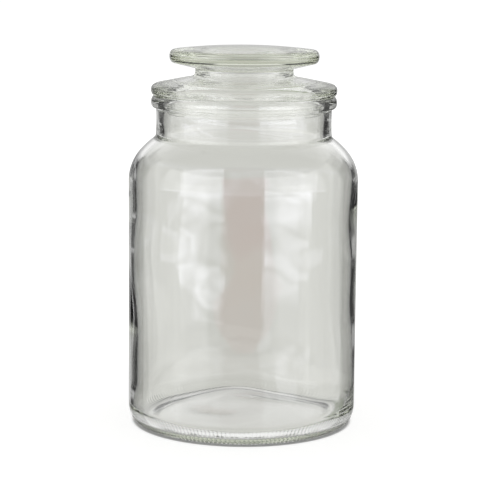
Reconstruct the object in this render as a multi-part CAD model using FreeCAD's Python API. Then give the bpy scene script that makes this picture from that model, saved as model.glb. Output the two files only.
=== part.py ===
import FreeCAD, Part
import math
import os

# Round glass storage jar with a loose one-piece glass lid.
# Millimetres, +Z up, origin in the middle of the ring that the jar stands on.
# Both pieces are pressed glass and round, so each is one closed profile in
# the XZ plane turned about Z.

# ---------------------------------------------------------------- jar body
BODY_R = 62.5           # outside radius of the body
WALL = 3.1              # side wall

RING_R = 51.4           # inner edge of the ring that the jar stands on
HEEL_R = 56.2           # where the heel starts to rise off the surface
HEEL_Z = 9.9           # height where the heel runs into the side
HEEL_EXP = 2.1          # fullness of the heel curve (2 is an ellipse)
PUSH_UP_R = 44.0        # where the hollow under the base levels off
PUSH_UP_Z = 1.1         # depth of that hollow at its edge
PUSH_UP_MID = 2.2       # depth of that hollow in the middle

FLOOR_MID = 5.8         # inner floor, in the middle
FLOOR_Z = 4.1           # inner floor, at its edge
FLOOR_R = 52.0          # radius of that edge
CORNER_Z = 11.5         # where the inner corner runs into the wall

SHOULDER_Z = 133.2      # where the side starts to turn in
SHOULDER_ROUND = 25.0   # radius of the lower part of the shoulder
SHOULDER_TURN = 41.5    # degrees that this part turns through
SHOULDER_ROUND2 = 48.0  # radius of the flatter upper part
SHOULDER_TURN2 = 12.2   # degrees that this part turns through
SHOULDER_WALL = 3.4     # wall at the upper part
CREASE_R = 47.75         # neck just above the crease
CREASE_Z = 158.6        # height where the crease's fillet runs into the neck

NECK_R = 47.5           # neck, at its waist
NECK_TOP_R = 47.7       # neck, under the bead
BORE_R = 43.2           # mouth
BORE_Z = 159.0          # where the bore starts, above the inner shoulder

BEAD_Z0 = 172.8         # underside of the rim bead
BEAD_MID = 176.25
BEAD_R = 50.37
RIM_Z = 179.8           # flat top of the rim, on which the lid lies
RIM_OUT = 47.7          # outer edge of that flat
RIM_IN = 44.8           # inner edge of that flat

# --------------------------------------------------------------------- lid
FLANGE_FLAT = 49.3      # flat of the underside reaches out to here
FLANGE_R = 50.43
FLANGE_MID = 182.95
FLANGE_TOP = 186.1      # upper edge of the round, start of the slope
FLANGE_IN = 46.3
SLOPE_BULGE = 0.1       # crown of the slope between flange and stem

STEM_R = 26.65
STEM_Z = 189.5         # foot of the stem
STEM_FOOT = 2.7         # fillet at the foot
STEM_HEAD = 0.8         # fillet under the knob

KNOB_R = 40.5
KNOB_UNDER = 194.35     # underside at the stem
KNOB_Z0 = 197.0         # underside at the edge
KNOB_Z1 = 204.15         # top at the edge
KNOB_EDGE = 2.4         # how far in the round of the edge reaches
KNOB_CROWN = 2.3        # crown of the top face

PLUG_R = 42.6           # plug that reaches into the mouth, at its root
PLUG_TIP_R = 41.2
PLUG_Z = 169.8          # lower end of the plug
PLUG_ROUND = 0.9
PLUG_IN = 39.3          # inner radius of the plug, at its lower end
PLUG_IN_TOP = 39.0
HOLLOW_Z = 181.2        # where the inside of the plug turns to the ceiling
HOLLOW_ROUND = 2.6      # how far in that turn reaches
CEILING_Z = 183.75      # ceiling under the flange, at its outer edge
CEILING_R0 = 26.8       # ceiling at the hollow of the stem
CEILING_Z0 = 185.7
STEM_HOLLOW_R = 21.2    # hollow that reaches up into the stem
STEM_HOLLOW_R0 = 21.7
STEM_HOLLOW_Z0 = 188.4
STEM_HOLLOW_Z1 = 193.6
STEM_HOLLOW_ROUND = 3.0


def v(p):
    return FreeCAD.Vector(p[0], 0.0, p[1])


def quarter(p0, p1, exp, flat_first, n=11):
    """Quarter of a superellipse from p0 to p1, points (radius, height)."""
    pts = []
    for i in range(n):
        t = 0.5 * math.pi * i / (n - 1)
        s = max(math.sin(t), 0.0) ** (2.0 / exp)
        c = 1.0 - max(math.cos(t), 0.0) ** (2.0 / exp)
        a, b = (s, c) if flat_first else (c, s)
        pts.append((p0[0] + (p1[0] - p0[0]) * a, p0[1] + (p1[1] - p0[1]) * b))
    return pts


def two_arcs(p0, p1, t0, t1, d0):
    """Two tangent arcs from p0 along t0 to p1 along t1, as (p0, middle, join,
    middle, p1). d0 is the length of the first arc's end tangent."""
    vx, vz = p1[0] - p0[0], p1[1] - p0[1]
    dot = t0[0] * t1[0] + t0[1] * t1[1]
    d1 = ((vx * vx + vz * vz - 2 * d0 * (vx * t0[0] + vz * t0[1]))
          / (2 * (vx * t1[0] + vz * t1[1]) + 2 * d0 * (1 - dot)))
    a = (p0[0] + d0 * t0[0], p0[1] + d0 * t0[1])
    b = (p1[0] - d1 * t1[0], p1[1] - d1 * t1[1])
    join = tuple((d1 * a[k] + d0 * b[k]) / (d0 + d1) for k in (0, 1))

    def middle(q0, corner, q1):
        h = math.dist(q0, q1) / 2
        m = ((q0[0] + q1[0]) / 2, (q0[1] + q1[1]) / 2)
        rise = math.dist(m, corner)
        if rise < 1e-9:
            return m
        # the arc's height over its chord, from half the angle at the corner
        arrow = h * math.tan(math.atan2(rise, h) / 2)
        return tuple(m[k] + (corner[k] - m[k]) * arrow / rise for k in (0, 1))

    return (p0, middle(p0, a, join), join, middle(join, b, p1), p1), d1


def circle_of(a, b, c):
    """Centre and radius of the circle through three points."""
    d = 2 * (a[0] * (b[1] - c[1]) + b[0] * (c[1] - a[1]) + c[0] * (a[1] - b[1]))
    sa, sb, sc = (q[0] ** 2 + q[1] ** 2 for q in (a, b, c))
    x = (sa * (b[1] - c[1]) + sb * (c[1] - a[1]) + sc * (a[1] - b[1])) / d
    z = (sa * (c[0] - b[0]) + sb * (a[0] - c[0]) + sc * (b[0] - a[0])) / d
    return (x, z), math.dist((x, z), a)


class Profile:
    """Chain of edges in the XZ plane, from a first point."""

    def __init__(self, start):
        self.start = start
        self.last = start
        self.edges = []

    def line(self, p):
        self.edges.append(Part.LineSegment(v(self.last), v(p)).toShape())
        self.last = p

    def arc(self, mid, p):
        self.edges.append(Part.Arc(v(self.last), v(mid), v(p)).toShape())
        self.last = p

    def bow(self, p, sag):
        """Arc to p whose middle stands sag to the left of the chord."""
        (x0, z0), (x1, z1) = self.last, p
        d = math.hypot(x1 - x0, z1 - z0)
        self.arc(((x0 + x1) / 2 - (z1 - z0) / d * sag,
                  (z0 + z1) / 2 + (x1 - x0) / d * sag), p)

    def cap(self, p):
        """Arc of a sphere centred on the axis; one of its ends is on it."""
        (x0, z0), (x1, z1) = self.last, p
        rim, edge_z, top_z = (x0, z0, z1) if x1 == 0.0 else (x1, z1, z0)
        rise = top_z - edge_z
        ball = (rim ** 2 + rise ** 2) / (2.0 * rise)
        drop = ball - math.copysign(math.sqrt(ball ** 2 - (rim / 2) ** 2), ball)
        self.arc((rim / 2, top_z - drop), p)

    def pair(self, arcs):
        self.arc(arcs[1], arcs[2])
        self.arc(arcs[3], arcs[4])

    def turn(self, p, exp=2.0, flat_first=True):
        """Quarter round to p, level at one end and upright at the other: the
        two tangent arcs that lie nearest to a superellipse."""
        w, h = abs(p[0] - self.last[0]), abs(p[1] - self.last[1])
        level = (math.copysign(1.0, p[0] - self.last[0]), 0.0)
        upright = (0.0, math.copysign(1.0, p[1] - self.last[1]))
        t0, t1 = (level, upright) if flat_first else (upright, level)
        if abs(w - h) < 1e-6 and exp == 2.0:
            k = math.sin(math.pi / 4)
            a, b = (k, 1 - k) if flat_first else (1 - k, k)
            self.arc((self.last[0] + (p[0] - self.last[0]) * a,
                      self.last[1] + (p[1] - self.last[1]) * b), p)
            return
        aim = quarter(self.last, p, exp, flat_first, 21)
        reach = (w if flat_first else h)
        best = None
        for i in range(4, 98):
            arcs, d1 = two_arcs(self.last, p, t0, t1, reach * i / 100.0)
            if d1 <= 0.02 * min(w, h):
                continue
            rounds = [circle_of(*arcs[0:3]), circle_of(*arcs[2:5])]
            off = 0.0
            for q in aim[1:-1]:
                # which arc q belongs to, by the side of the join it is on
                first = (abs(q[0] - aim[0][0]) <= abs(arcs[2][0] - aim[0][0])
                         and abs(q[1] - aim[0][1]) <= abs(arcs[2][1] - aim[0][1]))
                c, r = rounds[0] if first else rounds[1]
                off = max(off, abs(math.dist(q, c) - r))
            if best is None or off < best[0]:
                best = (off, arcs)
        self.pair(best[1])

    def blend(self, p, t0, t1):
        """Two tangent arcs to p that leave along t0 and arrive along t1."""
        reach = math.dist(self.last, p)
        best = None
        for i in range(5, 60):
            arcs, d1 = two_arcs(self.last, p, t0, t1, reach * i / 100.0)
            if d1 <= 0.02 * reach:
                continue
            r0, r1 = circle_of(*arcs[0:3])[1], circle_of(*arcs[2:5])[1]
            uneven = abs(math.log(r0 / r1))
            if best is None or uneven < best[0]:
                best = (uneven, arcs)
        self.pair(best[1])

    def solid(self):
        if math.dist(self.last, self.start) > 1e-6:
            self.line(self.start)
        face = Part.Face(Part.Wire(self.edges))
        turned = face.revolve(FreeCAD.Vector(0, 0, 0), FreeCAD.Vector(0, 0, 1), 360)
        solid = turned.Solids[0] if turned.Solids else Part.Solid(turned.Shells[0])
        if solid.Volume < 0:
            solid.reverse()
        return solid


def shoulder_curve(edge_r, start_z, round1, round2):
    """Points of the two arcs of a shoulder that starts upright at edge_r."""
    a1 = math.radians(SHOULDER_TURN)
    a2 = math.radians(SHOULDER_TURN + SHOULDER_TURN2)

    def on(c, r, a):
        return (c[0] + r * math.cos(a), c[1] + r * math.sin(a))

    c1 = (edge_r - round1, start_z)
    c2 = on(c1, round1 - round2, a1)
    return [on(c1, round1, a1 / 2), on(c1, round1, a1),
            on(c2, round2, (a1 + a2) / 2), on(c2, round2, a2)]


def make_jar():
    slope = math.radians(SHOULDER_TURN + SHOULDER_TURN2)
    p = Profile((0.0, PUSH_UP_MID))
    # underside: shallow hollow, then the ring that the jar stands on
    p.cap((PUSH_UP_R, PUSH_UP_Z))
    p.blend((RING_R, 0.0), (0.98, -0.2), (1, 0))
    p.line((HEEL_R, 0.0))
    # outside, going up
    p.turn((BODY_R, HEEL_Z), HEEL_EXP, flat_first=True)
    p.line((BODY_R, SHOULDER_Z))
    q = shoulder_curve(BODY_R, SHOULDER_Z, SHOULDER_ROUND, SHOULDER_ROUND2)
    p.arc(q[0], q[1])
    p.arc(q[2], q[3])
    p.blend((CREASE_R, CREASE_Z), (-math.sin(slope), math.cos(slope)), (0, 1))
    p.arc((NECK_R, (CREASE_Z + BEAD_Z0) / 2), (NECK_TOP_R, BEAD_Z0))
    p.turn((BEAD_R, BEAD_MID), 2.6, flat_first=True)
    p.turn((RIM_OUT, RIM_Z), 2.0, flat_first=False)
    p.line((RIM_IN, RIM_Z))
    # inside, going down
    p.turn((BORE_R, RIM_Z - 1.6), 2.0, flat_first=True)
    p.line((BORE_R, BORE_Z))
    gap = SHOULDER_WALL - WALL
    q = shoulder_curve(BODY_R - WALL, SHOULDER_Z,
                       SHOULDER_ROUND - WALL, SHOULDER_ROUND2 - WALL - gap)
    p.blend(q[3], (0, -1), (math.sin(slope), -math.cos(slope)))
    p.arc(q[2], q[1])
    p.arc(q[0], (BODY_R - WALL, SHOULDER_Z))
    p.line((BODY_R - WALL, CORNER_Z))
    p.turn((FLOOR_R, FLOOR_Z), 2.0, flat_first=False)
    p.cap((0.0, FLOOR_MID))
    return p.solid()


def make_lid():
    p = Profile((0.0, STEM_HOLLOW_Z1))
    # underside, from the middle out: stem hollow, ceiling, plug, flange
    p.line((STEM_HOLLOW_R - STEM_HOLLOW_ROUND, STEM_HOLLOW_Z1))
    p.turn((STEM_HOLLOW_R, STEM_HOLLOW_Z1 - STEM_HOLLOW_ROUND), 2.0, flat_first=True)
    p.line((STEM_HOLLOW_R0, STEM_HOLLOW_Z0))
    # smooth turn from the hollow of the stem to the ceiling, which slopes
    # down outwards at nearly the same pitch as the top of the flange
    run = PLUG_IN_TOP - HOLLOW_ROUND - CEILING_R0
    pitch = math.atan2(CEILING_Z - CEILING_Z0, run)
    steep = math.atan2(STEM_HOLLOW_Z0 - (STEM_HOLLOW_Z1 - STEM_HOLLOW_ROUND),
                       STEM_HOLLOW_R0 - STEM_HOLLOW_R)
    p.blend((CEILING_R0, CEILING_Z0), (math.cos(steep), math.sin(steep)),
            (math.cos(pitch), math.sin(pitch)))
    p.line((PLUG_IN_TOP - HOLLOW_ROUND, CEILING_Z))
    p.turn((PLUG_IN_TOP, HOLLOW_Z), 2.0, flat_first=True)
    p.line((PLUG_IN, PLUG_Z + PLUG_ROUND))
    p.turn((PLUG_IN + PLUG_ROUND, PLUG_Z), 2.0, flat_first=False)
    p.line((PLUG_TIP_R - PLUG_ROUND, PLUG_Z))
    p.turn((PLUG_TIP_R, PLUG_Z + PLUG_ROUND), 2.0, flat_first=True)
    p.line((PLUG_R, RIM_Z))
    p.line((FLANGE_FLAT, RIM_Z))
    # outside, going up and in
    p.turn((FLANGE_R, FLANGE_MID), 2.0, flat_first=True)
    p.turn((FLANGE_IN, FLANGE_TOP), 2.2, flat_first=False)
    p.bow((STEM_R + STEM_FOOT, STEM_Z), -SLOPE_BULGE)
    p.turn((STEM_R, STEM_Z + STEM_FOOT), 2.0, flat_first=True)
    p.line((STEM_R, KNOB_UNDER - STEM_HEAD))
    p.turn((STEM_R + STEM_HEAD, KNOB_UNDER), 2.0, flat_first=False)
    p.line((KNOB_R - KNOB_EDGE, KNOB_Z0))
    p.turn((KNOB_R, (KNOB_Z0 + KNOB_Z1) / 2), 2.0, flat_first=True)
    p.turn((KNOB_R - KNOB_EDGE, KNOB_Z1), 2.0, flat_first=False)
    p.cap((0.0, KNOB_Z1 + KNOB_CROWN))
    return p.solid()


os.makedirs("parts", exist_ok=True)
for name, shape in (("jar", make_jar()), ("lid", make_lid())):
    box = shape.BoundBox
    print(name, "valid", shape.isValid(), "solids", len(shape.Solids),
          "volume cm3", round(shape.Volume / 1000, 2),
          "box", [round(c, 2) for c in (box.XMin, box.YMin, box.ZMin,
                                        box.XMax, box.YMax, box.ZMax)])
    shape.exportStep("parts/%s.step" % name)
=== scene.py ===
import math

import bpy
from mathutils import Matrix


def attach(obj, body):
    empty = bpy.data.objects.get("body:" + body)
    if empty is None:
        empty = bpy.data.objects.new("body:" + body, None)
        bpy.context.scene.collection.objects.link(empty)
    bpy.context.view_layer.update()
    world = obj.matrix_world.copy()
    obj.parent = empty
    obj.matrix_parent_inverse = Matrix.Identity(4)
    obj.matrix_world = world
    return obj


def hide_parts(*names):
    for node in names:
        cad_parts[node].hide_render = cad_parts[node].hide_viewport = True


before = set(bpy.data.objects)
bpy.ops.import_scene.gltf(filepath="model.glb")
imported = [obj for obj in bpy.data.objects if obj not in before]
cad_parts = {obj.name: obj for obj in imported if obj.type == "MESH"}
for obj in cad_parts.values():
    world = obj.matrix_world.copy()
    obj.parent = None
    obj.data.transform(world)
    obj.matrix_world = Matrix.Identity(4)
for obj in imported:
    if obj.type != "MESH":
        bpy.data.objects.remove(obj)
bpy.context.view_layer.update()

MM = 0.001

# ------------------------------------------------------------------ profiles
# Outlines of the two pieces in millimetres, (radius, height), as in the CAD
# model, sampled finely enough for smooth refraction.


def quarter(p0, p1, exp=2.0, flat_first=True, n=12):
    """Quarter superellipse from p0 to p1, without p0."""
    out = []
    for i in range(1, n + 1):
        t = 0.5 * math.pi * i / n
        s = max(math.sin(t), 0.0) ** (2.0 / exp)
        c = 1.0 - max(math.cos(t), 0.0) ** (2.0 / exp)
        a, b = (s, c) if flat_first else (c, s)
        out.append((p0[0] + (p1[0] - p0[0]) * a, p0[1] + (p1[1] - p0[1]) * b))
    return out


def line(p0, p1, n=1):
    return [(p0[0] + (p1[0] - p0[0]) * i / n, p0[1] + (p1[1] - p0[1]) * i / n)
            for i in range(1, n + 1)]


def bow(p0, p1, sag, n=12):
    """Shallow arc whose middle stands sag to the left of the chord."""
    d = math.hypot(p1[0] - p0[0], p1[1] - p0[1])
    nx, nz = -(p1[1] - p0[1]) / d, (p1[0] - p0[0]) / d
    out = []
    for i in range(1, n + 1):
        t = i / n
        k = 4 * sag * t * (1 - t)
        out.append((p0[0] + (p1[0] - p0[0]) * t + nx * k,
                    p0[1] + (p1[1] - p0[1]) * t + nz * k))
    return out


def cap(p0, p1, n=20):
    """Arc of a shallow sphere on the axis between the pole and a rim."""
    (rim, ez, tz) = (p0[0], p0[1], p1[1]) if p1[0] == 0 else (p1[0], p1[1], p0[1])
    h = tz - ez
    ball = (rim * rim + h * h) / (2 * h)
    out = []
    for i in range(1, n + 1):
        r = p0[0] + (p1[0] - p0[0]) * i / n
        out.append((r, tz - (ball - math.sqrt(ball * ball - r * r))))
    return out


def arc(c, r, a0, a1, n=12):
    return [(c[0] + r * math.cos(math.radians(a0 + (a1 - a0) * i / n)),
             c[1] + r * math.sin(math.radians(a0 + (a1 - a0) * i / n)))
            for i in range(1, n + 1)]


def hermite(p0, p1, t0, t1, n=10):
    """Smooth curve from p0 to p1 with unit end directions t0 and t1."""
    d = math.hypot(p1[0] - p0[0], p1[1] - p0[1])
    out = []
    for i in range(1, n + 1):
        t = i / n
        a, b = 2 * t ** 3 - 3 * t ** 2 + 1, t ** 3 - 2 * t ** 2 + t
        c, e = -2 * t ** 3 + 3 * t ** 2, t ** 3 - t ** 2
        out.append(tuple(a * p0[k] + b * d * t0[k] + c * p1[k] + e * d * t1[k]
                         for k in (0, 1)))
    return out


BODY_R, WALL = 62.5, 3.1
SH_Z, SH_R1, SH_A1, SH_R2, SH_A2 = 133.2, 25.0, 41.5, 48.0, 53.7
RIM_Z = 179.8
SEAT = 0.06             # film of air between rim and lid


def shoulder(edge_r, r1, r2, n1, n2):
    c1 = (edge_r - r1, SH_Z)
    a = math.radians(SH_A1)
    c2 = (c1[0] + (r1 - r2) * math.cos(a), c1[1] + (r1 - r2) * math.sin(a))
    return arc(c1, r1, 0, SH_A1, n1) + arc(c2, r2, SH_A1, SH_A2, n2)


def jar_profile():
    """Rows (radius, height, tag). Tags name what the surface detail acts on."""
    rows = []

    def add(points, tag=""):
        rows.extend((r, z, tag) for r, z in points)

    last = lambda: rows[-1][:2]
    add([(0.0, 2.2)])
    add(cap((0.0, 2.2), (44.0, 1.1), 14))
    add(hermite(last(), (51.4, 0.0), (1.0, -0.06), (1.0, 0.0), 10))
    add(line(last(), (56.2, 0.0), 7), "ring")
    add(quarter(last(), (BODY_R, 9.9), 2.1, True, 22), "heel")
    add(line(last(), (BODY_R, SH_Z), 50), "side")
    add(shoulder(BODY_R, SH_R1, SH_R2, 16, 7), "side")
    s = math.radians(SH_A2)
    add(hermite(last(), (47.75, 158.6), (-math.sin(s), math.cos(s)), (0, 1), 8))
    add(bow(last(), (47.7, 172.8), 0.22, 12), "neck")
    add(quarter(last(), (50.37, 176.25), 2.64, True, 12))
    add(quarter(last(), (47.7, RIM_Z - SEAT), 2.0, False, 12))
    add(line(last(), (44.8, RIM_Z - SEAT), 3))
    add(quarter(last(), (43.2, RIM_Z - 1.6), 2.0, True, 7))
    add(line(last(), (43.2, 159.0), 12), "bore")
    q = shoulder(BODY_R - WALL, SH_R1 - WALL, SH_R2 - WALL - 0.3, 16, 7)
    add(hermite(last(), q[-1], (0, -1), (math.sin(s), -math.cos(s)), 8), "inner")
    add(list(reversed(q[:-1])) + [(BODY_R - WALL, SH_Z)], "inner")
    add(line(last(), (BODY_R - WALL, 11.5), 46), "inner")
    add(quarter(last(), (52.0, 4.1), 2.0, False, 22), "corner")
    add(cap(last(), (0.0, 5.8), 20), "floor")
    return rows


def lid_profile():
    rows = []

    def add(points, tag=""):
        rows.extend((r, z, tag) for r, z in points)

    last = lambda: rows[-1][:2]
    zr = RIM_Z
    add([(0.0, 193.6)])
    add(line((0.0, 193.6), (18.2, 193.6), 8), "press")
    add(quarter(last(), (21.2, 190.6), 2.0, True, 9), "press")
    add(line(last(), (21.7, 188.4), 5), "press")
    add(hermite(last(), (26.8, 185.7), (0.2, -0.98), (0.98, -0.2), 10), "press")
    add(line(last(), (36.4, 183.75), 10), "press")
    add(quarter(last(), (39.0, 181.2), 2.0, True, 10), "press")
    add(line(last(), (39.3, 170.8), 10), "press")
    add(quarter(last(), (40.2, 169.8), 2.0, False, 6))
    add(quarter(last(), (41.2, 170.8), 2.0, True, 6))
    add(line(last(), (42.5, zr - 0.5), 9))
    add(quarter(last(), (43.1, zr), 2.0, False, 4))
    add(line(last(), (49.3, zr), 4))
    add(quarter(last(), (50.43, 182.95), 2.0, True, 12))
    add(quarter(last(), (46.3, 186.1), 2.0, False, 12))
    add(bow(last(), (29.35, 189.5), -0.1, 16), "press")
    add(quarter(last(), (26.65, 192.2), 2.0, True, 10))
    add(line(last(), (26.65, 193.55), 3))
    add(quarter(last(), (27.45, 194.35), 2.0, False, 6))
    add(line(last(), (38.1, 197.0), 10))
    add(quarter(last(), (40.5, 200.575), 2.0, True, 12))
    add(quarter(last(), (38.1, 204.15), 2.0, False, 12))
    add(cap(last(), (0.0, 206.45), 18), "press")
    return rows


# ------------------------------------------------------------ surface detail
def smooth(x, a, b):
    t = min(max((x - a) / (b - a), 0.0), 1.0)
    return t * t * (3 - 2 * t)


def knurl(th, r, z):
    """Fine radial ridges moulded into the ring and the foot of the heel."""
    k = smooth(r, 51.3, 52.4) * (1.0 - smooth(z, 3.0, 6.0))
    w = 0.5 - 0.5 * math.cos(160 * th + 0.6 * math.sin(9 * th))
    # pressed less deep on the far side
    depth = (0.42 + 0.12 * math.sin(7 * th + 1)) * (0.68 - 0.32 * math.sin(th))
    return depth * k * w


def bump(z, mid, half):
    return math.exp(-((z - mid) / half) ** 2)


def wave(th, z):
    """How much thicker the wall is here than its mean. Pressed and blown
    glass is uneven: the two sides and the rest each run their own way."""
    left = (2.4 + 1.3 * bump(z, 117, 16) + 0.9 * bump(z, 138, 12)
            + 1.6 * bump(z, 48, 25) + 0.9 * bump(z, 18, 18))
    right = (1.5 + 0.6 * smooth(z, 12, 40) + 1.0 * smooth(z, 34, 62)
             + 0.7 * bump(z, 110, 16) + 0.15 * bump(z, 66, 12))
    wr = (0.5 + 0.5 * math.cos(th)) ** 4
    wl = (0.5 - 0.5 * math.cos(th)) ** 4
    rest = 0.30 * math.sin(2 * th + z / 33.0 + 1.1)
    rest += 0.22 * math.sin(3 * th - z / 17.0 + 0.4)
    rest += 0.13 * math.sin(5 * th + z / 11.0 + 2.2)
    rest += 0.06 * math.sin(9 * th - z / 7.0)
    rest *= 1.0 - smooth(z, 95, 150)
    return wr * (right - WALL) + wl * (left - WALL) + (1 - wr - wl) * rest


def detail(tag, th, r, z):
    """Offsets (radial, vertical) in millimetres."""
    if tag == "ring":
        return 0.0, knurl(th, r, z)
    if tag == "heel":
        k = knurl(th, r, z)
        return -0.8 * k, 0.8 * k
    if tag == "side":
        k = smooth(z, 12, 30)
        return -0.05 * k * (0.5 + 0.5 * math.sin(3 * th + z / 19.0)
                            * math.sin(z / 9.0 + 2 * th)), 0.0
    if tag == "inner":
        k = smooth(z, 8, 22) * (1.0 - smooth(z, 138, 154))
        return -wave(th, z) * k, 0.0
    if tag == "bore":
        return 0.12 * math.sin(4 * th + z / 5.0) * math.sin((z - 159.0) / 6.2), 0.0
    if tag == "floor":
        k = smooth(r, 0, 30) * (1.0 - smooth(r, 42, 51.0))
        return 0.0, 0.22 * k * math.sin(2 * th + r / 9.0 + 0.7)
    if tag == "press":
        return 0.0, 0.015 * math.sin(3 * th + r / 3.1) * smooth(r, 2, 12)
    return 0.0, 0.0


def turned(name, rows, segs, fine_tags=(), fine=8):
    """Closed surface of revolution. Rows whose tag is in fine_tags and that stand
    below 6.2 mm get fine times as many points round; the rows between step down by halves."""
    count = []
    for r, z, tag in rows:
        count.append(segs * fine if tag in fine_tags and z < 6.2 else segs)
    # step down by halves next to a fine row
    for _ in range(4):
        for i in range(len(count)):
            for j in (i - 1, i + 1):
                if 0 <= j < len(count) and count[j] > 2 * count[i]:
                    count[i] = count[j] // 2
    verts, ring = [], []
    for (r, z, tag), n in zip(rows, count):
        if r < 1e-6:
            ring.append([len(verts)])
            verts.append((0.0, 0.0, z * MM))
            continue
        start = len(verts)
        for i in range(n):
            th = 2 * math.pi * i / n
            dr, dz = detail(tag, th, r, z)
            rr = r + dr
            verts.append((rr * math.cos(th) * MM, rr * math.sin(th) * MM, (z + dz) * MM))
        ring.append(list(range(start, start + n)))
    faces = []
    for a, b in zip(ring, ring[1:]):
        na, nb = len(a), len(b)
        if na == 1:
            faces += [(a[0], b[(i + 1) % nb], b[i]) for i in range(nb)]
        elif nb == 1:
            faces += [(a[i], a[(i + 1) % na], b[0]) for i in range(na)]
        elif na == nb:
            faces += [(a[i], a[(i + 1) % na], b[(i + 1) % nb], b[i]) for i in range(na)]
        elif nb == 2 * na:
            for i in range(na):
                j = 2 * i
                faces.append((a[i], b[j + 1], b[j]))
                faces.append((a[i], a[(i + 1) % na], b[j + 1]))
                faces.append((a[(i + 1) % na], b[(j + 2) % nb], b[j + 1]))
        else:
            for i in range(nb):
                j = 2 * i
                faces.append((a[j], a[j + 1], b[i]))
                faces.append((a[j + 1], b[(i + 1) % nb], b[i]))
                faces.append((a[j + 1], a[(j + 2) % na], b[(i + 1) % nb]))
    mesh = bpy.data.meshes.new(name)
    mesh.from_pydata(verts, [], faces)
    mesh.validate()
    mesh.polygons.foreach_set("use_smooth", [True] * len(mesh.polygons))
    mesh.update()
    obj = bpy.data.objects.new(name, mesh)
    bpy.context.scene.collection.objects.link(obj)
    return obj


# ----------------------------------------------------------------- materials
def glass(name, absorb, density, ripple, ripple_scale):
    """Clear soda-lime glass: tinted through its depth, with faint ripples."""
    m = bpy.data.materials.new(name)
    m.use_nodes = True
    nt = m.node_tree
    bsdf = nt.nodes["Principled BSDF"]
    bsdf.inputs["Base Color"].default_value = (1, 1, 1, 1)
    bsdf.inputs["Transmission Weight"].default_value = 1.0
    bsdf.inputs["IOR"].default_value = 1.5
    out = nt.nodes["Material Output"]
    coord = nt.nodes.new("ShaderNodeTexCoord")
    slow = nt.nodes.new("ShaderNodeTexNoise")
    slow.inputs["Scale"].default_value = ripple_scale
    slow.inputs["Detail"].default_value = 2.0
    slow.inputs["Roughness"].default_value = 0.4
    nt.links.new(coord.outputs["Object"], slow.inputs["Vector"])
    bump = nt.nodes.new("ShaderNodeBump")
    bump.inputs["Strength"].default_value = 1.0
    bump.inputs["Distance"].default_value = ripple
    nt.links.new(slow.outputs["Fac"], bump.inputs["Height"])
    nt.links.new(bump.outputs["Normal"], bsdf.inputs["Normal"])
    # handling marks: tiny changes of gloss
    marks = nt.nodes.new("ShaderNodeTexNoise")
    marks.inputs["Scale"].default_value = 90.0
    marks.inputs["Detail"].default_value = 4.0
    nt.links.new(coord.outputs["Object"], marks.inputs["Vector"])
    ramp = nt.nodes.new("ShaderNodeMapRange")
    ramp.inputs["From Min"].default_value = 0.45
    ramp.inputs["From Max"].default_value = 0.8
    ramp.inputs["To Min"].default_value = 0.0
    ramp.inputs["To Max"].default_value = 0.04
    nt.links.new(marks.outputs["Fac"], ramp.inputs["Value"])
    nt.links.new(ramp.outputs["Result"], bsdf.inputs["Roughness"])
    vol = nt.nodes.new("ShaderNodeVolumeAbsorption")
    vol.inputs["Color"].default_value = absorb
    vol.inputs["Density"].default_value = density
    nt.links.new(vol.outputs["Volume"], out.inputs["Volume"])
    return m


jar = turned("jar_glass", jar_profile(), 240, ("ring", "heel"))
lid = turned("lid_glass", lid_profile(), 240)
jar.data.materials.append(glass("clear_glass", (0.66, 0.71, 0.53, 1), 9.0, 0.00003, 28.0))
lid.data.materials.append(glass("lid_clear_glass", (0.66, 0.70, 0.54, 1), 10.0, 0.00002, 40.0))
for piece, node, slot in ((jar, "jar", "jar_glass"), (lid, "lid", "lid_glass")):
    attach(piece, "root")
    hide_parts(node)


# --------------------------------------------------------------------- stage
def node(nt, kind, **inputs):
    n = nt.nodes.new(kind)
    for key, val in inputs.items():
        n.inputs[key].default_value = val
    return n


def maths(nt, op, a, b=None, c=None):
    n = nt.nodes.new("ShaderNodeMath")
    n.operation = op
    for i, val in enumerate((a, b, c)):
        if val is None:
            continue
        if isinstance(val, (int, float)):
            n.inputs[i].default_value = val
        else:
            nt.links.new(val, n.inputs[i])
    return n.outputs[0]


def rise(nt, value, lo, hi):
    """0 below lo, 1 above hi, smooth between."""
    n = nt.nodes.new("ShaderNodeMapRange")
    n.interpolation_type = "SMOOTHSTEP"
    n.inputs["From Min"].default_value = lo
    n.inputs["From Max"].default_value = hi
    nt.links.new(value, n.inputs["Value"])
    return n.outputs["Result"]


def window(nt, value, lo, hi, soft):
    up = rise(nt, value, lo - soft / 2, lo + soft / 2)
    down = rise(nt, value, hi - soft / 2, hi + soft / 2)
    return maths(nt, "MULTIPLY", up, maths(nt, "SUBTRACT", 1.0, down))


def disc(name, radius, z):
    """Round flat floor."""
    n = 96
    verts = [(0, 0, z)] + [(radius * math.cos(2 * math.pi * i / n),
                            radius * math.sin(2 * math.pi * i / n), z) for i in range(n)]
    mesh = bpy.data.meshes.new(name)
    mesh.from_pydata(verts, [], [(0, 1 + i, 1 + (i + 1) % n) for i in range(n)])
    o = bpy.data.objects.new(name, mesh)
    bpy.context.scene.collection.objects.link(o)
    return o
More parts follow.
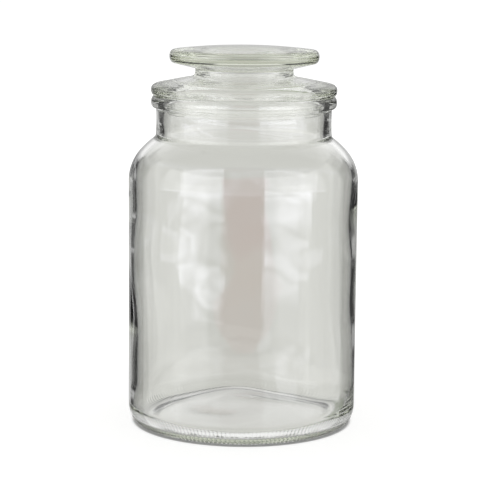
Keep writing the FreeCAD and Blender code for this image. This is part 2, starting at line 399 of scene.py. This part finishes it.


# Pale floor that glows like a light table, so that it runs into the backdrop.
# Its glow is weaker near the jar, rising to full strength 0.3 m out, and round
# the foot it carries a painted contact shadow.
floor = disc("floor", 3.0, -0.0002)
m = bpy.data.materials.new("floor_glow_painted_contact_shadow")
m.use_nodes = True
nt = m.node_tree
nt.nodes.clear()
out = node(nt, "ShaderNodeOutputMaterial")
coord = node(nt, "ShaderNodeTexCoord")
length = nt.nodes.new("ShaderNodeVectorMath")
length.operation = "LENGTH"
nt.links.new(coord.outputs["Object"], length.inputs[0])
far = rise(nt, length.outputs["Value"], 0.0615, 0.30)
# painted contact shadow: the glow falls to a fifth inside 59 mm and is back to full by 61.5 mm
outside_painted_contact_shadow = rise(nt, length.outputs["Value"], 0.0590, 0.0615)
glow = node(nt, "ShaderNodeEmission", Color=(1, 1, 1, 1))
# glow strength: 0.83 near the jar rising to 1.05 far out, times the painted contact shadow
nt.links.new(maths(nt, "MULTIPLY", maths(nt, "MULTIPLY_ADD", far, 0.22, 0.83),
                   maths(nt, "MULTIPLY_ADD", outside_painted_contact_shadow, 0.8, 0.2)), glow.inputs["Strength"])
paper = node(nt, "ShaderNodeBsdfDiffuse", Color=(0.30, 0.30, 0.30, 1))
both = node(nt, "ShaderNodeAddShader")
nt.links.new(glow.outputs[0], both.inputs[0])
nt.links.new(paper.outputs[0], both.inputs[1])
nt.links.new(both.outputs[0], out.inputs["Surface"])
floor.data.materials.append(m)
# the glass is lit by the studio alone, not by the floor it stands on
floor.visible_glossy = False
floor.visible_transmission = False

# The backdrop seen through the glass.
PLAIN = (0.580, 0.584, 0.545)
BACKDROP = [
    # e0, e1, softness, azimuth from straight behind, level added, tint
    (-18, -12.4, 1.2, 180, 0.04, (1, 1, 1)),
    (-5.98, -4.85, 1.0, 180, 0.05, (1.0, 1, 1.20)),
    (-4.85, 91, 0.3, 180, 0.02, (1, 1, 1)),
    (0, 91, 3.0, 180, 0.08, (1, 1, 1)),
    (-9.2, -6.95, 0.6, 1.15, -0.03, (0.5, 1.9, 1.7)),
    (-11.5, -9.2, 0.6, 1.15, -0.02, (0.0, 1.2, 1.2)),
]
# The studio: panels given by azimuth from the front (degrees, + to the right),
# elevation, softness of the edge, level and tint.
BASE = 0.55
PANELS = [
    # f0, f1, e0, e1, soft, level above the base, tint
    (-22, 22, -11, -6.8, 1.6, -0.30, (0.6, 1.1, 1.25)),
    (-22, 22, -17, -11, 1.6, -0.25, (0.8, 1, 1)),
    (-22, 22, -6.2, 12, 1.6, 0.32, (0.97, 0.98, 1.05)),
    (-22, 22, 12, 34, 3.0, 0.20, (1, 1, 1)),
    # softboxes beside the camera
    (-90, -20, -6.3, -4.5, 0.9, 0.90, (1, 1, 1.22)),
    (20, 90, -6.3, -4.5, 0.9, 0.90, (1, 1, 1.22)),
    (-20, 20, -6.3, -4.5, 0.9, 0.80, (1, 1, 1.22)),
    (-90, -22, -6.4, 33, 1.4, 0.95, (0.98, 0.98, 1.02)),
    (22, 90, -6.4, 33, 1.4, 0.90, (0.98, 0.98, 1.02)),
    (-72, -38, -6.4, 11, 3.0, 0.70, (1, 1, 1.02)),
    (38, 72, -6.4, 11, 3.0, 0.70, (1, 1, 1.02)),
    (-90, -34, -17, -6.4, 4.0, 0.25, (1, 1, 1.02)),
    (22, 90, -17, -6.4, 3.0, 0.25, (1, 1, 1.02)),
    (-72, -36, -14, -6.4, 3.0, 0.30, (1, 1, 1.02)),
    (36, 72, -14, -6.4, 3.0, 0.40, (1, 1, 1.02)),
    (-68, -22.5, -7.9, -6.9, 1.2, 2.50, (1, 1, 1.12)),
    (-64, -36, -12.0, -7.9, 4.0, 0.25, (1, 1, 1.12)),
    (21.0, 72, -8.6, -6.9, 1.0, 2.30, (1, 1, 1.12)),
    (19.0, 58, -10.9, -9.4, 0.7, 1.30, (1, 1, 1.12)),
    # walls beside the jar
    (-118, -66, -17, 33, 4.0, 0.40, (1, 1, 1)),
    (66, 118, -17, 33, 4.0, 0.40, (1, 1, 1)),
    # pale table
    (-181, 181, -91, -17, 3.0, 0.45, (1, 1, 1)),
    (-181, 181, -91, -32, 8.0, -0.08, (1, 1, 1)),
    # upper part of the backdrop
    (-166, -148, 8, 40, 4.0, 0.38, (1, 1, 1)),
    (148, 166, 8, 40, 4.0, 0.45, (1, 1, 1)),
    (-150, -118, 28, 75, 4.0, 0.20, (1, 1, 1)),
    (118, 150, 28, 75, 4.0, 0.25, (1, 1, 1)),
    (-181, -166, 9, 33, 4.0, 0.20, (1, 1, 1)),
    (166, 181, 9, 33, 4.0, 0.20, (1, 1, 1)),
    # dark room beyond the edges of the backdrop
    (-156, -118, -32, -17, 3.0, -0.96, (1, 1, 1)),
    (118, 163, -32, -17, 3.0, -0.96, (1, 1, 1)),
    (-156, -118, -17, -6.3, 2.0, -0.51, (1, 1, 1)),
    (118, 163, -17, -6.3, 2.0, -0.51, (1, 1, 1)),
    (-144, -118, -6.3, -4.5, 0.6, -0.51, (1, 1, 1)),
    (118, 148, -6.3, -4.5, 0.6, -0.51, (1, 1, 1)),
    (-156, -118, -4.5, 3, 1.0, -0.47, (1, 1, 1)),
    (118, 160, -4.5, 3, 1.0, -0.47, (1, 1, 1)),
    (-148, -118, 3, 17, 1.5, -0.47, (1, 1, 1)),
    (118, 148, 3, 17, 1.5, -0.47, (1, 1, 1)),
    # dim ceiling
    (-181, 181, 40, 91, 5.0, -0.10, (1, 1, 1)),
]
scene = bpy.context.scene
world = bpy.data.worlds.new("studio")
scene.world = world
world.use_nodes = True
wt = world.node_tree
wt.nodes.clear()
wout = node(wt, "ShaderNodeOutputWorld")
path = node(wt, "ShaderNodeLightPath")
coord = node(wt, "ShaderNodeTexCoord")
sep = node(wt, "ShaderNodeSeparateXYZ")
wt.links.new(coord.outputs["Generated"], sep.inputs[0])
azim = maths(wt, "MULTIPLY", maths(wt, "ARCTAN2", sep.outputs["X"],
                                   maths(wt, "MULTIPLY", sep.outputs["Y"], -1.0)),
             180 / math.pi)
elev = maths(wt, "MULTIPLY", maths(wt, "ARCSINE", sep.outputs["Z"]), 180 / math.pi)
channels = [BASE, BASE, BASE]
for f0, f1, e0, e1, soft, level, tint in PANELS:
    w = maths(wt, "MULTIPLY", window(wt, azim, f0, f1, soft), window(wt, elev, e0, e1, soft))
    for k in range(3):
        channels[k] = maths(wt, "MULTIPLY_ADD", w, level * tint[k], channels[k])
comb = node(wt, "ShaderNodeCombineXYZ")
for k in range(3):
    wt.links.new(maths(wt, "MAXIMUM", channels[k], 0.04), comb.inputs[k])
mirrored = node(wt, "ShaderNodeBackground")
wt.links.new(comb.outputs[0], mirrored.inputs["Color"])
channels = list(PLAIN)
behind = maths(wt, "SUBTRACT", 180.0, maths(wt, "ABSOLUTE", azim))
for e0, e1, soft, half, level, tint in BACKDROP:
    w = window(wt, elev, e0, e1, soft)
    if half < 180:
        w = maths(wt, "MULTIPLY", w, window(wt, behind, -1, half, 0.3))
    for k in range(3):
        channels[k] = maths(wt, "MULTIPLY_ADD", w, level * tint[k], channels[k])
# grey-green shade on the table to the right, seen through the corner of the base
w = maths(wt, "MULTIPLY", window(wt, azim, 95, 164, 8.0), window(wt, elev, -75, -17, 3.0))
for k, level in enumerate((-0.26, -0.22, -0.29)):
    channels[k] = maths(wt, "MULTIPLY_ADD", w, level, channels[k])
comb = node(wt, "ShaderNodeCombineXYZ")
for k in range(3):
    wt.links.new(channels[k], comb.inputs[k])
through = node(wt, "ShaderNodeBackground")
wt.links.new(comb.outputs[0], through.inputs["Color"])
white = node(wt, "ShaderNodeBackground", Color=(1, 1, 1, 1), Strength=1.05)
glossy = maths(wt, "GREATER_THAN", path.outputs["Glossy Depth"], 0.5)
mix1 = node(wt, "ShaderNodeMixShader")
wt.links.new(glossy, mix1.inputs["Fac"])
wt.links.new(through.outputs[0], mix1.inputs[1])
wt.links.new(mirrored.outputs[0], mix1.inputs[2])
mix2 = node(wt, "ShaderNodeMixShader")
wt.links.new(path.outputs["Is Camera Ray"], mix2.inputs["Fac"])
wt.links.new(mix1.outputs[0], mix2.inputs[1])
wt.links.new(white.outputs[0], mix2.inputs[2])
wt.links.new(mix2.outputs[0], wout.inputs["Surface"])

# -------------------------------------------------------------------- camera
cam_data = bpy.data.cameras.new("camera")
cam_data.sensor_width = 36.0
cam_data.lens = 36.0 * 1826.2 / 490.0
cam_data.clip_start = 0.01
camera = bpy.data.objects.new("camera", cam_data)
camera.location = (0.0012, -0.9889, 0.2580)
pitch, roll = 0.161, 0.0092
camera.rotation_mode = "XYZ"
camera.rotation_euler = (Matrix.Rotation(math.pi / 2 - pitch, 3, "X")
                         @ Matrix.Rotation(roll, 3, "Z")).to_euler("XYZ")
scene.collection.objects.link(camera)
scene.camera = camera

scene.view_settings.view_transform = "Standard"
scene.view_settings.look = "None"
scene.cycles.max_bounces = 32
scene.cycles.transmission_bounces = 32
scene.cycles.glossy_bounces = 16
scene.cycles.use_denoising = True
